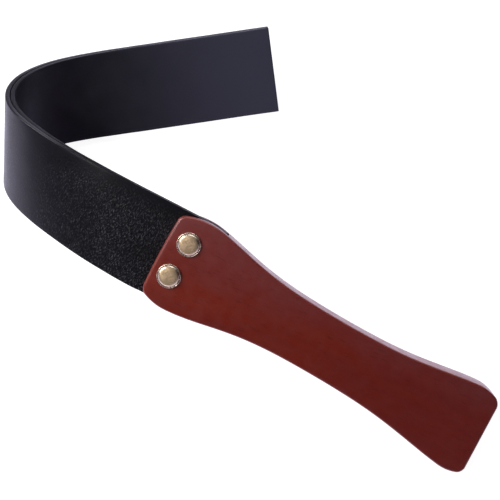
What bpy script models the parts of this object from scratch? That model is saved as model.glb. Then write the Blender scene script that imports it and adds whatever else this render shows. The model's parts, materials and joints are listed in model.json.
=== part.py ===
"""Leather strop: a two-ply leather strap, folded back on itself, riveted into a waisted wooden handle.

The strap is bent from flat leather, so its faces are developable: straight rulings cross it, and
the leather only curves from one ruling to the next. All shapes are first placed in a working frame
whose origin is the middle of the slot's mouth in the handle's end: +X runs along the strap away
from the handle, +Y towards the inside of the fold, +Z across the strap. The finished strop is then
laid down with its folded-back tail under the handle, on the plane Z = 0.
"""

from dataclasses import dataclass
from math import cos, exp, hypot, pi, radians, sin

import bmesh
import bpy
import numpy as np
from mathutils import Matrix, Vector

MM = 0.001
CLEARANCE = 0.3 * MM  # between any two pieces that touch

# Strap
STRAP_WIDTH = 45.5 * MM
STRAP_LENGTH = 263.0 * MM  # from the handle's mouth to the square-cut end, along the leather
TANG_LENGTH = 23.5 * MM  # held inside the handle
TANG_TRIM = 1.0 * MM  # cut off the tang's -Z side, level with the handle's waisted side
TANG_TRIM_LENGTH = 9.5 * MM
PLY_THICKNESS = 2.3 * MM
STRAP_THICKNESS = 2 * PLY_THICKNESS + CLEARANCE
ROW_SPACING = 4.5 * MM
COLUMNS = 4  # faces across the strap

# The fold: a slight set beside the handle, then the bend itself (curvatures in 1/m)
LEAD_CURVATURE = 7.5
LEAD_RAMP = 25.0 * MM
BEND_CURVATURE = 34.8
BEND_START = 86.3 * MM
BEND_START_RAMP = 36.5 * MM
BEND_END = 152.4 * MM
BEND_END_RAMP = 73.9 * MM
FLEX_STATION = 116.0 * MM  # the ruling that the tail flexes about

# How far each ruling leans, as a slope: least at the bend's middle, more towards its two ends
RULING_CENTRE = 110.0 * MM
RULING_SPAN = 60.0 * MM
RULING_RAMP = 40.0 * MM  # the slot holds the leather flat, so rulings start square to it
RULING_SLOPE = -0.246
RULING_TWIST = 0.153
RULING_FLARE = -0.461
RULING_LEAN_END = 1.4  # in spans past the middle; the leather is straight from there on

# Handle
HANDLE_LENGTH = 182.4 * MM
HANDLE_THICKNESS = 12.0 * MM
HANDLE_SKEW = -0.0605  # slope of the handle's own axis against the strap's
MOUTH_REACH = 0.8 * MM  # how far the mouth stands past the working frame's origin
WAIST_HALF_WIDTH = 15.25 * MM
SHOULDER_SWELL = 9.05 * MM  # added at the strap end
SHOULDER_CENTRE = 9.8 * MM
SHOULDER_REACH = 36.1 * MM
FLARE_SWELL = 8.25 * MM  # added at the free end
FLARE_CENTRE = 180.7 * MM
FLARE_REACH = 41.1 * MM
END_TUCK = 3.4 * MM  # the sides curve in again just before the free end
END_TUCK_REACH = 13.0 * MM
MOUTH_TUCKS = {-1: 4.0 * MM, 1: 2.6 * MM}  # and towards the mouth, more on the -Z side
MOUTH_TUCK_REACHES = {-1: 22.0 * MM, 1: 14.0 * MM}
MOUTH_BOW = 0.55 * MM  # how far the mouth's middle stands past its two corners
MOUTH_CUT_SLOPE = 0.014  # the two sawn ends aren't quite square
FREE_CUT_SLOPE = -0.044
MOUTH_CORNER_RADIUS = 2.6 * MM
FREE_CORNER_RADIUS = 3.0 * MM
HANDLE_EDGE_RADIUS = 1.2 * MM
OUTLINE_STEPS = 44
SLOT_DEPTH = TANG_LENGTH + 1.0 * MM
SLOT_HEIGHT = STRAP_THICKNESS + 2 * CLEARANCE

# Rivets
RIVET_SPACING = 18.0 * MM
RIVET_INSET = 8.5 * MM
RIVET_LINE_SLOPE = 0.0885
RIVET_LINE_SHIFT = -0.28 * MM
CAP_RADIUS = 5.95 * MM
CAP_HEIGHT = 2.1 * MM
CAP_RIM = 0.55 * MM
CAP_SHOULDER_RADIUS = 4.9 * MM
SOCKET_RADIUS = 1.6 * MM
SOCKET_WALL = 0.5 * MM
PIN_RADIUS = SOCKET_RADIUS - SOCKET_WALL - CLEARANCE
RIVET_HOLE_RADIUS = SOCKET_RADIUS + CLEARANCE
RIVET_SEGMENTS = 24

# How the strop lies: tilt of the handle's axis to the floor, and its roll about that axis
HANDLE_PITCH = radians(9.4)
HANDLE_ROLL = radians(24.5)


def smoothstep(value: float) -> float:
    """Rise smoothly from 0 to 1 as value goes from 0 to 1."""
    bounded = min(max(value, 0.0), 1.0)
    return bounded * bounded * (3 - 2 * bounded)


def curvature(station: float) -> float:
    """Curvature of the strap's middle line at a station."""
    into_bend = smoothstep((station - BEND_START) / BEND_START_RAMP + 0.5)
    out_of_bend = smoothstep((station - BEND_END) / BEND_END_RAMP + 0.5)
    lead = LEAD_CURVATURE * smoothstep(station / LEAD_RAMP)
    return lead * (1 - into_bend) + BEND_CURVATURE * into_bend * (1 - out_of_bend)


def ruling_slope(station: float) -> float:
    """Lean of the ruling at a station, as distance along the strap per distance across it."""
    along = min((station - RULING_CENTRE) / RULING_SPAN, RULING_LEAN_END)
    lean = RULING_SLOPE + RULING_TWIST * along + RULING_FLARE * along * along
    return lean * smoothstep(station / RULING_RAMP)


@dataclass
class StrapPath:
    """The bent strap's middle surface, sampled at even steps along its middle line."""

    stations: np.ndarray
    points: np.ndarray
    frames: np.ndarray  # rows: along, inward normal, across

    @classmethod
    def bend(cls, length: float, step: float = 0.5 * MM) -> "StrapPath":
        """Integrate the frame of the middle line, which turns and twists along the strap."""
        stations = np.arange(0.0, length + 60 * MM, step)
        points, frames = [Vector((0, 0, 0))], [Matrix.Identity(3)]
        for station in stations[:-1] + step / 2:
            bend = curvature(station) * step
            twist = ruling_slope(station) * bend
            along, inward, across = frames[-1]
            turn = Matrix.Rotation(hypot(bend, twist), 3, across * bend + along * twist)
            frame = Matrix([turn @ axis for axis in (along, inward, across)])
            points.append(points[-1] + (along + frame[0]) * step / 2)
            frames.append(frame)
        return cls(stations, np.array(points), np.array(frames))

    def place(self, flat: float, across: float, outward: float) -> Vector:
        """Where a point of the flat strap lies once the strap is bent.

        Args:
            flat: distance from the handle's mouth, measured on the flat leather.
            across: distance from the strap's middle line.
            outward: height above the middle surface, on the outside of the fold.
        """
        slopes = np.array([ruling_slope(station) for station in self.stations])
        reached = self.stations + across * slopes
        if flat <= reached[0]:
            return Vector((flat, -outward, across))
        station = np.interp(flat, reached, self.stations)
        middle = self._sample(self.points, station)
        along, inward, width = (self._sample(self.frames[:, i], station) for i in range(3))
        slope = ruling_slope(station)
        return Vector(middle + across * (slope * along + width) - outward * inward)

    def _sample(self, values: np.ndarray, station: float) -> np.ndarray:
        return np.array([np.interp(station, self.stations, values[:, i]) for i in range(3)])


def flat_row(station: float, across: float) -> float:
    """Distance along the flat strap of a mesh row that follows the rulings inside the bend."""
    follows = smoothstep(station / RULING_RAMP) * smoothstep((STRAP_LENGTH - station) / (60 * MM))
    return station + across * ruling_slope(station) * follows


def make_material(name: str, colour: tuple, roughness: float, metallic: float = 0.0):
    """A plain Principled material."""
    material = bpy.data.materials.new(name)
    material.use_nodes = True
    shader = material.node_tree.nodes["Principled BSDF"]
    shader.inputs["Base Color"].default_value = (*colour, 1.0)
    shader.inputs["Roughness"].default_value = roughness
    shader.inputs["Metallic"].default_value = metallic
    material.diffuse_color = (*colour, 1.0)
    return material


def add_object(name: str, mesh_data: bmesh.types.BMesh, material):
    """Turn a bmesh into a named object with one material and outward faces."""
    bmesh.ops.recalc_face_normals(mesh_data, faces=mesh_data.faces)
    mesh = bpy.data.meshes.new(name)
    mesh_data.to_mesh(mesh)
    mesh_data.free()
    if material:
        mesh.materials.append(material)
    placed = bpy.data.objects.new(name, mesh)
    bpy.context.scene.collection.objects.link(placed)
    return placed


def strap_across(station: float, share: float) -> float:
    """Distance across the strap, share going from 0 to 1 over its width, which the tang trims."""
    trim = TANG_TRIM * max(0.0, 1 - (station + TANG_LENGTH) / TANG_TRIM_LENGTH)
    low, high = trim - STRAP_WIDTH / 2, STRAP_WIDTH / 2
    return low + (high - low) * share


def make_ply(name: str, path: StrapPath, ends: tuple, offsets: tuple, material):
    """One stretch of one leather ply: a closed loft between two offsets of the middle surface."""
    start, stop = ends
    rows = max(2, round((stop - start) / ROW_SPACING))
    shape = bmesh.new()
    loops = []
    for row in range(rows + 1):
        station = start + (stop - start) * row / rows
        loop = []
        for offset in offsets:
            columns = range(COLUMNS + 1) if offset == offsets[0] else range(COLUMNS, -1, -1)
            for column in columns:
                across = strap_across(station, column / COLUMNS)
                spot = path.place(flat_row(station, across), across, offset)
                loop.append(shape.verts.new(spot))
        loops.append(loop)
    for low, high in zip(loops, loops[1:]):
        for i, corner in enumerate(low):
            j = (i + 1) % len(low)
            shape.faces.new((corner, low[j], high[j], high[i]))
    for loop in (loops[0], loops[-1]):
        for i in range(COLUMNS):
            shape.faces.new((loop[i], loop[i + 1], loop[-2 - i], loop[-1 - i]))
    ply = add_object(name, shape, material)
    ply.data.shade_smooth()
    ply.data.set_sharp_from_angle(angle=radians(40))
    return ply


def handle_half_width(distance: float, side: int) -> float:
    """The handle's width to one side (-1 or +1): broad, waisted, then flared, ends tucked in."""
    end_tuck = max(0.0, 1 - (HANDLE_LENGTH - distance) / END_TUCK_REACH)
    mouth_tuck = max(0.0, 1 - distance / MOUTH_TUCK_REACHES[side])
    shoulder = exp(-(((distance - SHOULDER_CENTRE) / SHOULDER_REACH) ** 2))
    flare = exp(-(((distance - FLARE_CENTRE) / FLARE_REACH) ** 2))
    swell = SHOULDER_SWELL * shoulder + FLARE_SWELL * flare
    tucked = END_TUCK * end_tuck * end_tuck + MOUTH_TUCKS[side] * mouth_tuck * mouth_tuck
    return WAIST_HALF_WIDTH + swell - tucked


def handle_point(distance: float, offset: float) -> Vector:
    """A point of the handle's middle plane: offset is measured from the handle's own axis."""
    across = offset - HANDLE_SKEW * distance
    blend = distance / HANDLE_LENGTH
    cut = MOUTH_CUT_SLOPE * (1 - blend) + FREE_CUT_SLOPE * blend
    return Vector((MOUTH_REACH - distance + cut * across, 0.0, across))


def mouth_point(share: float) -> Vector:
    """A point of the bowed mouth end: share goes from -1 to +1 across it."""
    low, high = -handle_half_width(0.0, -1), handle_half_width(0.0, 1)
    spot = handle_point(0.0, (low + high) / 2 + share * (high - low) / 2)
    return spot + Vector((MOUTH_BOW * (1 - share * share), 0, 0))


def make_handle(material):
    """The wooden handle: a waisted board with rounded corners and edges, and a sawn slot."""
    shape = bmesh.new()
    half = Vector((0, HANDLE_THICKNESS / 2, 0))
    pairs = []
    for i in range(OUTLINE_STEPS + 1):
        step = HANDLE_LENGTH * i / OUTLINE_STEPS
        ends = [handle_point(step, side * handle_half_width(step, side)) for side in (-1, 1)]
        pairs.append([shape.verts.new(spot - half) for spot in ends])
    mouth = [shape.verts.new(mouth_point(share) - half) for share in (-0.6, -0.2, 0.2, 0.6)]
    front = []
    for near, far in zip(pairs, pairs[1:]):
        middle = mouth if near is pairs[0] else []
        front.append(shape.faces.new((near[0], *middle, near[1], far[1], far[0])))
    extruded = bmesh.ops.extrude_face_region(shape, geom=front)
    moved = [item for item in extruded["geom"] if isinstance(item, bmesh.types.BMVert)]
    bmesh.ops.translate(shape, verts=moved, vec=half * 2)
    for sign, radius in ((1, MOUTH_CORNER_RADIUS), (-1, FREE_CORNER_RADIUS)):
        corners = [
            edge
            for edge in shape.edges
            if abs(edge.verts[0].co.y - edge.verts[1].co.y) > HANDLE_THICKNESS / 2
            and edge.calc_face_angle() > radians(45)
            and sign * (edge.verts[0].co.x + HANDLE_LENGTH / 2) > 0
        ]
        bmesh.ops.bevel(
            shape, geom=corners, offset=radius, segments=5, profile=0.5, affect="EDGES"
        )
    handle = add_object("handle", shape, material)
    edges = handle.modifiers.new("rounded_edges", "BEVEL")
    edges.width = HANDLE_EDGE_RADIUS
    edges.segments = 3
    edges.limit_method = "ANGLE"
    edges.angle_limit = radians(50)
    handle.data.shade_smooth()
    return handle


def cut_with(target, cutter):
    """Subtract a hidden cutter from a piece."""
    cutter.hide_render = True
    cutter.display_type = "WIRE"
    cut = target.modifiers.new(cutter.name, "BOOLEAN")
    cut.operation = "DIFFERENCE"
    cut.object = cutter


def make_slot_cutter():
    """The block that saws the handle's slot for the strap."""
    shape = bmesh.new()
    bmesh.ops.create_cube(shape, size=1.0)
    size = Vector((SLOT_DEPTH + 10 * MM, SLOT_HEIGHT, STRAP_WIDTH * 2))
    bmesh.ops.scale(shape, verts=shape.verts, vec=size)
    centre = Vector((-SLOT_DEPTH + size.x / 2, 0, 0))
    bmesh.ops.translate(shape, verts=shape.verts, vec=centre)
    return add_object("slot_cutter", shape, None)


def rivet_centre(side: int) -> Vector:
    """Where a rivet passes through the strap: side is -1 or +1."""
    across = side * RIVET_SPACING / 2
    return Vector((-RIVET_INSET + across * RIVET_LINE_SLOPE, 0, across + RIVET_LINE_SHIFT))


def make_turned(name: str, profile: list, centre: Vector, facing: int, material):
    """A round piece turned about Y: profile holds (radius, height) from the axis and back to it."""
    shape = bmesh.new()
    rings = []
    for radius, height in profile:
        if radius == 0:
            rings.append([shape.verts.new(centre + Vector((0, facing * height, 0)))])
            continue
        ring = []
        for i in range(RIVET_SEGMENTS):
            angle = 2 * pi * i / RIVET_SEGMENTS
            spot = Vector((radius * cos(angle), facing * height, radius * sin(angle)))
            ring.append(shape.verts.new(centre + spot))
        rings.append(ring)
    for low, high in zip(rings, rings[1:]):
        for i in range(RIVET_SEGMENTS):
            j = (i + 1) % RIVET_SEGMENTS
            corners = [low[i % len(low)], low[j % len(low)], high[j % len(high)], high[i % len(high)]]
            shape.faces.new(list(dict.fromkeys(corners)))
    piece = add_object(name, shape, material)
    piece.data.shade_smooth()
    piece.data.set_sharp_from_angle(angle=radians(35))
    return piece


def cap_profile(seat: float) -> list:
    """Outer side of a rivet's cap: a low dome inside a rolled rim. seat is its height on the wood."""
    top = seat + CAP_HEIGHT
    return [
        (0, top),
        (CAP_SHOULDER_RADIUS * 0.5, top - 0.06 * MM),
        (CAP_SHOULDER_RADIUS * 0.85, top - 0.3 * MM),
        (CAP_SHOULDER_RADIUS, top - 0.65 * MM),
        (CAP_RADIUS - 0.35 * MM, seat + CAP_RIM + 0.35 * MM),
        (CAP_RADIUS, seat + CAP_RIM),
        (CAP_RADIUS - 0.2 * MM, seat),
    ]


def make_rivet(name: str, centre: Vector, material) -> list:
    """A double-cap rivet: a front cap with a hollow socket, and a back cap with the pin in it."""
    seat = HANDLE_THICKNESS / 2 + CLEARANCE
    socket_floor = seat - 0.6 * MM
    front = cap_profile(seat) + [
        (SOCKET_RADIUS, seat),
        (SOCKET_RADIUS, -seat + CLEARANCE),
        (SOCKET_RADIUS - SOCKET_WALL, -seat + CLEARANCE),
        (SOCKET_RADIUS - SOCKET_WALL, socket_floor),
        (0, socket_floor),
    ]
    back = cap_profile(seat) + [
        (PIN_RADIUS, seat),
        (PIN_RADIUS, -socket_floor + CLEARANCE),
        (0, -socket_floor + CLEARANCE),
    ]
    return [
        make_turned(f"{name}_socket_cap", front, centre, -1, material),
        make_turned(f"{name}_pin_cap", back, centre, 1, material),
    ]


def make_hole_cutter(name: str, centre: Vector):
    """The drill for one rivet's hole through wood and leather."""
    reach = HANDLE_THICKNESS
    profile = [(0, reach), (RIVET_HOLE_RADIUS, reach), (RIVET_HOLE_RADIUS, -reach), (0, -reach)]
    return make_turned(name, profile, centre, 1, None)


def lay_down(pieces: list, cutters: list) -> None:
    """Turn the finished strop so that its handle points along +X, and set it on the plane Z = 0."""
    handle_out = Matrix(((-1, 0, 0), (0, 0, -1), (0, -1, 0)))
    tilt = Matrix.Rotation(HANDLE_PITCH, 3, "Y") @ Matrix.Rotation(HANDLE_ROLL, 3, "X")
    turn = (tilt @ handle_out).to_4x4()
    graph = bpy.context.evaluated_depsgraph_get()
    finished = [piece.evaluated_get(graph) for piece in pieces]
    corners = [turn @ vertex.co for piece in finished for vertex in piece.data.vertices]
    low = [min(corner[i] for corner in corners) for i in range(3)]
    high = [max(corner[i] for corner in corners) for i in range(3)]
    base = Vector(((low[0] + high[0]) / 2, (low[1] + high[1]) / 2, low[2]))
    for piece in pieces + cutters:
        piece.matrix_world = Matrix.Translation(-base) @ turn


def main() -> None:
    """Build every piece of the strop."""
    for item in list(bpy.data.objects):
        bpy.data.objects.remove(item, do_unlink=True)
    wood = make_material("wood", (0.115, 0.022, 0.020), 0.42)
    outer_leather = make_material("outer_leather", (0.030, 0.027, 0.033), 0.5)
    inner_leather = make_material("inner_leather", (0.014, 0.014, 0.018), 0.55)
    brass = make_material("antique_brass", (0.52, 0.42, 0.28), 0.38, 1.0)

    path = StrapPath.bend(STRAP_LENGTH)
    half = STRAP_THICKNESS / 2
    plies = {
        "outer_ply": ((half, half - PLY_THICKNESS), outer_leather),
        "inner_ply": ((-half + PLY_THICKNESS, -half), inner_leather),
    }
    spans = {
        "front": (-TANG_LENGTH, FLEX_STATION - CLEARANCE / 2),
        "tail": (FLEX_STATION + CLEARANCE / 2, STRAP_LENGTH),
    }
    strap = {
        f"{ply}_{span}": make_ply(f"{ply}_{span}", path, spans[span], offsets, leather)
        for ply, (offsets, leather) in plies.items()
        for span in spans
    }
    handle = make_handle(wood)
    slot_cutter = make_slot_cutter()
    cut_with(handle, slot_cutter)
    cutters, rivets = [slot_cutter], []
    for name, side in (("upper_rivet", -1), ("lower_rivet", 1)):
        centre = rivet_centre(side)
        rivets += make_rivet(name, centre, brass)
        drill = make_hole_cutter(f"{name}_drill", centre)
        cutters.append(drill)
        for target in (handle, strap["outer_ply_front"], strap["inner_ply_front"]):
            cut_with(target, drill)
    lay_down([handle, *strap.values(), *rivets], cutters)


main()
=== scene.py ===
"""The finished look of a leather strop: lacquered handle, two leather plies and their brass rivets.

Every piece is built in a working frame whose origin is the middle of the slot's mouth in the
handle's end: +X runs along the strap away from the handle, +Y towards the inside of the fold and
+Z across the strap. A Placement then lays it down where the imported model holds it. Lengths are in
metres, curvatures in 1/m.
"""

import json
import logging
from dataclasses import dataclass, field
from enum import Enum
from math import cos, exp, pi, radians, sin, sqrt
from typing import Iterable, Sequence

import bmesh
import bpy
import numpy as np
from mathutils import Matrix, Vector, noise


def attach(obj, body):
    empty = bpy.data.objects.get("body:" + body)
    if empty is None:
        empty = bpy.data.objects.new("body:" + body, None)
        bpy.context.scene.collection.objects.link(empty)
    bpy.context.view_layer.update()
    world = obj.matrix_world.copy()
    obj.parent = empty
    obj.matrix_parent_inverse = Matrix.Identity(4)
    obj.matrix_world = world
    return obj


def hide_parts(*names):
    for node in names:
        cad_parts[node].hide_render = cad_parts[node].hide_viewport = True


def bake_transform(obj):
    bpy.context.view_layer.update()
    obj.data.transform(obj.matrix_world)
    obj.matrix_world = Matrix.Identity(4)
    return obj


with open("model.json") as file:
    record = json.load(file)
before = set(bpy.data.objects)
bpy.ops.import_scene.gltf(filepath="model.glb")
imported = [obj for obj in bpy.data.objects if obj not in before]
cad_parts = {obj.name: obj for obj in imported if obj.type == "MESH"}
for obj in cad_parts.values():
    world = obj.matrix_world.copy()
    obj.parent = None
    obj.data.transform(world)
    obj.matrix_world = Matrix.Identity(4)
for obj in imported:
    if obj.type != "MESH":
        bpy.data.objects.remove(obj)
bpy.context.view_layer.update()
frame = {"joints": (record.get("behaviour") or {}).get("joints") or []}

LOG = logging.getLogger("strop")
MM = 0.001
HANDLE_BODY = "handle_half"
FLEX_JOINT = "strap_flex"
REST_ATTRIBUTE = "rest_place"  # a point's place in the unbent, unplaced piece
EDGE_ATTRIBUTE = "edge_share"  # 1 on a rounded or cut edge, 0 on a face

Colour = tuple[float, float, float]


def smoothstep(value: float) -> float:
    """Rise smoothly from 0 to 1 as value goes from 0 to 1."""
    bounded = min(max(value, 0.0), 1.0)
    return bounded * bounded * (3 - 2 * bounded)


# --------------------------------------------------------------------------------------------
# Meshes
# --------------------------------------------------------------------------------------------


@dataclass
class Placement:
    """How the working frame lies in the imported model's frame."""

    pitch: float = radians(9.4)
    roll: float = radians(24.5)
    origin: Vector = field(default_factory=lambda: Vector((0, 0, 0)))

    def turn(self) -> Matrix:
        """The rotation alone: the handle points along +X, its face up."""
        handle_out = Matrix(((-1, 0, 0), (0, 0, -1), (0, -1, 0)))
        return Matrix.Rotation(self.pitch, 3, "Y") @ Matrix.Rotation(self.roll, 3, "X") @ handle_out

    def matrix(self) -> Matrix:
        """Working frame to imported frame."""
        return Matrix.Translation(self.origin) @ self.turn().to_4x4()

    def meet(self, local: Vector, packed: Vector) -> None:
        """Move the placement so that a local point falls on a packed one.

        Args:
            local: a point in the working frame.
            packed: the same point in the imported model's frame.
        """
        self.origin = packed - self.turn() @ local


def new_piece(name: str, shape: bmesh.types.BMesh) -> bpy.types.Object:
    """Turn a bmesh into an object with outward faces.

    Args:
        name: the piece's name.
        shape: its geometry, freed afterwards.

    Returns:
        The new object.
    """
    bmesh.ops.recalc_face_normals(shape, faces=shape.faces)
    mesh = bpy.data.meshes.new(name)
    shape.to_mesh(mesh)
    shape.free()
    piece = bpy.data.objects.new(name, mesh)
    bpy.context.scene.collection.objects.link(piece)
    return piece


def shade(piece: bpy.types.Object, sharp_angle: float) -> None:
    """Shade a piece smooth, apart from edges that turn more than an angle in radians."""
    piece.data.shade_smooth()
    piece.data.set_sharp_from_angle(angle=sharp_angle)


def block_cutter(low: Vector, high: Vector) -> bpy.types.Object:
    """A block between two corners, to cut with."""
    shape = bmesh.new()
    bmesh.ops.create_cube(shape, size=1.0)
    bmesh.ops.scale(shape, verts=shape.verts, vec=high - low)
    bmesh.ops.translate(shape, verts=shape.verts, vec=(low + high) / 2)
    return new_piece("kerf_cutter", shape)


def round_drill(centre: Vector, axis: str, radius: float) -> bpy.types.Object:
    """A drill through a point along Y or Z, to cut with."""
    shape = bmesh.new()
    turn = Matrix.Rotation(pi / 2, 4, "X") if axis == "Y" else Matrix.Identity(4)
    bmesh.ops.create_cone(
        shape, cap_ends=True, segments=32, radius1=radius, radius2=radius, depth=30 * MM,
        matrix=Matrix.Translation(centre) @ turn,
    )
    return new_piece("rivet_drill", shape)


def carve(piece: bpy.types.Object, cutters: Iterable[bpy.types.Object]) -> None:
    """Subtract cutters from a piece's mesh, then remove them.

    Args:
        piece: the object to cut.
        cutters: closed shapes to take away.
    """
    tools = list(cutters)
    for tool in tools:
        cut = piece.modifiers.new(tool.name, "BOOLEAN")
        cut.operation, cut.solver, cut.object = "DIFFERENCE", "EXACT", tool
    graph = bpy.context.evaluated_depsgraph_get()
    carved = bpy.data.meshes.new_from_object(piece.evaluated_get(graph))
    piece.modifiers.clear()
    piece.data = carved
    for tool in tools:
        bpy.data.objects.remove(tool, do_unlink=True)


def smooth_profile(points: Sequence[tuple[float, float]], parts: int) -> list[tuple[float, float]]:
    """Run a smooth curve through a turned piece's outline.

    Args:
        points: (radius, height) points, in order.
        parts: how many steps each span is divided into.

    Returns:
        The finer outline, through every given point.
    """
    known = [Vector(point) for point in points]
    padded = [known[0] * 2 - known[1], *known, known[-1] * 2 - known[-2]]
    padded[0] = Vector((-known[1].x, known[1].y))
    fine = [tuple(known[0])]
    for before, start, stop, after in zip(padded, padded[1:], padded[2:], padded[3:]):
        for i in range(1, parts + 1):
            t = i / parts
            spot = (start * 2 + (stop - before) * t
                    + (before * 2 - start * 5 + stop * 4 - after) * t * t
                    + (start * 3 - before - stop * 3 + after) * t ** 3) / 2
            fine.append((spot.x, spot.y))
    return fine


def turned_shape(profile: Sequence[tuple[float, float]], segments: int) -> bmesh.types.BMesh:
    """Turn a profile of (radius, height) about Y, from the axis and back to it."""
    shape = bmesh.new()
    rings = []
    for radius, height in profile:
        if radius < 0.001 * MM:
            rings.append([shape.verts.new((0, height, 0))])
            continue
        angles = [2 * pi * i / segments for i in range(segments)]
        rings.append([shape.verts.new((radius * cos(a), height, radius * sin(a))) for a in angles])
    for low, high in zip(rings, rings[1:]):
        for i in range(segments):
            j = (i + 1) % segments
            ring = [low[i % len(low)], low[j % len(low)], high[j % len(high)], high[i % len(high)]]
            shape.faces.new(list(dict.fromkeys(ring)))
    return shape


def store_points(piece: bpy.types.Object, name: str, places: np.ndarray) -> None:
    """Keep a vector for every vertex, for the materials to read.

    Args:
        piece: the object whose mesh is written.
        name: the attribute's name.
        places: one row of three numbers for each vertex.
    """
    attribute = piece.data.attributes.new(name, "FLOAT_VECTOR", "POINT")
    attribute.data.foreach_set("vector", places.astype(np.float32).ravel())


def store_values(piece: bpy.types.Object, name: str, values: np.ndarray) -> None:
    """Keep a number for every vertex, for the materials to read.

    Args:
        piece: the object whose mesh is written.
        name: the attribute's name.
        values: one number for each vertex.
    """
    attribute = piece.data.attributes.new(name, "FLOAT", "POINT")
    attribute.data.foreach_set("value", values.astype(np.float32))


def vertex_places(piece: bpy.types.Object) -> np.ndarray:
    """Every vertex's place, one row each."""
    places = np.zeros(len(piece.data.vertices) * 3, np.float32)
    piece.data.vertices.foreach_get("co", places)
    return places.reshape(-1, 3)


def undulation(place: Sequence[float], wavelength: float) -> float:
    """Smooth noise from -1 to 1 that changes over about one wavelength."""
    return noise.noise(Vector(place) / wavelength)


# --------------------------------------------------------------------------------------------
# Shader building
# --------------------------------------------------------------------------------------------


class NodeSheet:
    """A node tree being filled in, with short calls for the nodes that the finishes share."""

    def __init__(self, tree: bpy.types.NodeTree) -> None:
        """Work on the given tree."""
        self.tree = tree

    def add(self, kind: str, **settings: object) -> bpy.types.Node:
        """Add a node and set its properties."""
        node = self.tree.nodes.new(kind)
        for name, value in settings.items():
            setattr(node, name, value)
        return node

    def feed(self, target: bpy.types.NodeSocket, source: object) -> None:
        """Link a socket, or set a constant."""
        if isinstance(source, bpy.types.NodeSocket):
            self.tree.links.new(source, target)
        elif source is not None:
            target.default_value = source

    def math(self, operation: str, first: object, second: object = None, clamp: bool = False):
        """A Math node; returns its value."""
        node = self.add("ShaderNodeMath", operation=operation, use_clamp=clamp)
        self.feed(node.inputs[0], first)
        self.feed(node.inputs[1], second)
        return node.outputs[0]

    def scaled(self, vector: object, scale: Sequence[float], turn: float = 0.0):
        """A vector stretched by a scale and turned about Z; returns the new vector."""
        node = self.add("ShaderNodeMapping")
        self.feed(node.inputs["Vector"], vector)
        node.inputs["Scale"].default_value = scale
        node.inputs["Rotation"].default_value = (0.0, 0.0, turn)
        return node.outputs[0]

    def noise(self, vector: object, scale: object, detail: float = 3.0, rough: float = 0.5,
              distortion: float = 0.0):
        """A Noise texture; returns its value."""
        node = self.add("ShaderNodeTexNoise")
        self.feed(node.inputs["Vector"], vector)
        self.feed(node.inputs["Scale"], scale)
        node.inputs["Detail"].default_value = detail
        node.inputs["Roughness"].default_value = rough
        node.inputs["Distortion"].default_value = distortion
        return node.outputs[0]

    def remap(self, value: object, low: object, high: object, to_low: object = 0.0,
              to_high: object = 1.0):
        """A clamped, smooth Map Range; returns its value."""
        node = self.add("ShaderNodeMapRange", interpolation_type="SMOOTHSTEP")
        for socket, source in zip(node.inputs, (value, low, high, to_low, to_high)):
            self.feed(socket, source)
        return node.outputs[0]

    def mix(self, share: object, first: object, second: object, blend: str = "MIX"):
        """Mix two colours; returns the colour."""
        node = self.add("ShaderNodeMix", data_type="RGBA", blend_type=blend)
        self.feed(node.inputs[0], share)
        self.feed(node.inputs[6], opaque(first))
        self.feed(node.inputs[7], opaque(second))
        return node.outputs[2]

    def attribute(self, name: str) -> bpy.types.Node:
        """Read a stored mesh attribute."""
        return self.add("ShaderNodeAttribute", attribute_name=name)

    def bump(self, height: object, strength: float, distance: float, normal: object = None):
        """A Bump node; returns the normal."""
        node = self.add("ShaderNodeBump")
        node.inputs["Strength"].default_value = strength
        node.inputs["Distance"].default_value = distance
        self.feed(node.inputs["Height"], height)
        self.feed(node.inputs["Normal"], normal)
        return node.outputs[0]


def opaque(colour: object) -> object:
    """Give a plain RGB triple its alpha, and leave a socket as it is."""
    return (*colour, 1.0) if isinstance(colour, tuple) and len(colour) == 3 else colour


class SocketKind(Enum):
    """The kinds of socket that a shared group has."""

    VALUE = "NodeSocketFloat"
    VECTOR = "NodeSocketVector"
    COLOUR = "NodeSocketColor"


def new_group(name: str, inputs: dict, outputs: dict) -> tuple[NodeSheet, dict, bpy.types.Node]:
    """Start a shared node group.

    Args:
        name: the group's name.
        inputs: socket name to (kind, default or None).
        outputs: socket name to kind.

    Returns:
        The sheet to fill in, the group's input sockets by name, and its output node.
    """
    tree = bpy.data.node_groups.new(name, "ShaderNodeTree")
    for label, (kind, default) in inputs.items():
        socket = tree.interface.new_socket(label, in_out="INPUT", socket_type=kind.value)
        if default is not None:
            socket.default_value = default
    for label, kind in outputs.items():
        tree.interface.new_socket(label, in_out="OUTPUT", socket_type=kind.value)
    sheet = NodeSheet(tree)
    entry = sheet.add("NodeGroupInput")
    return sheet, {label: entry.outputs[label] for label in inputs}, sheet.add("NodeGroupOutput")


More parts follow.
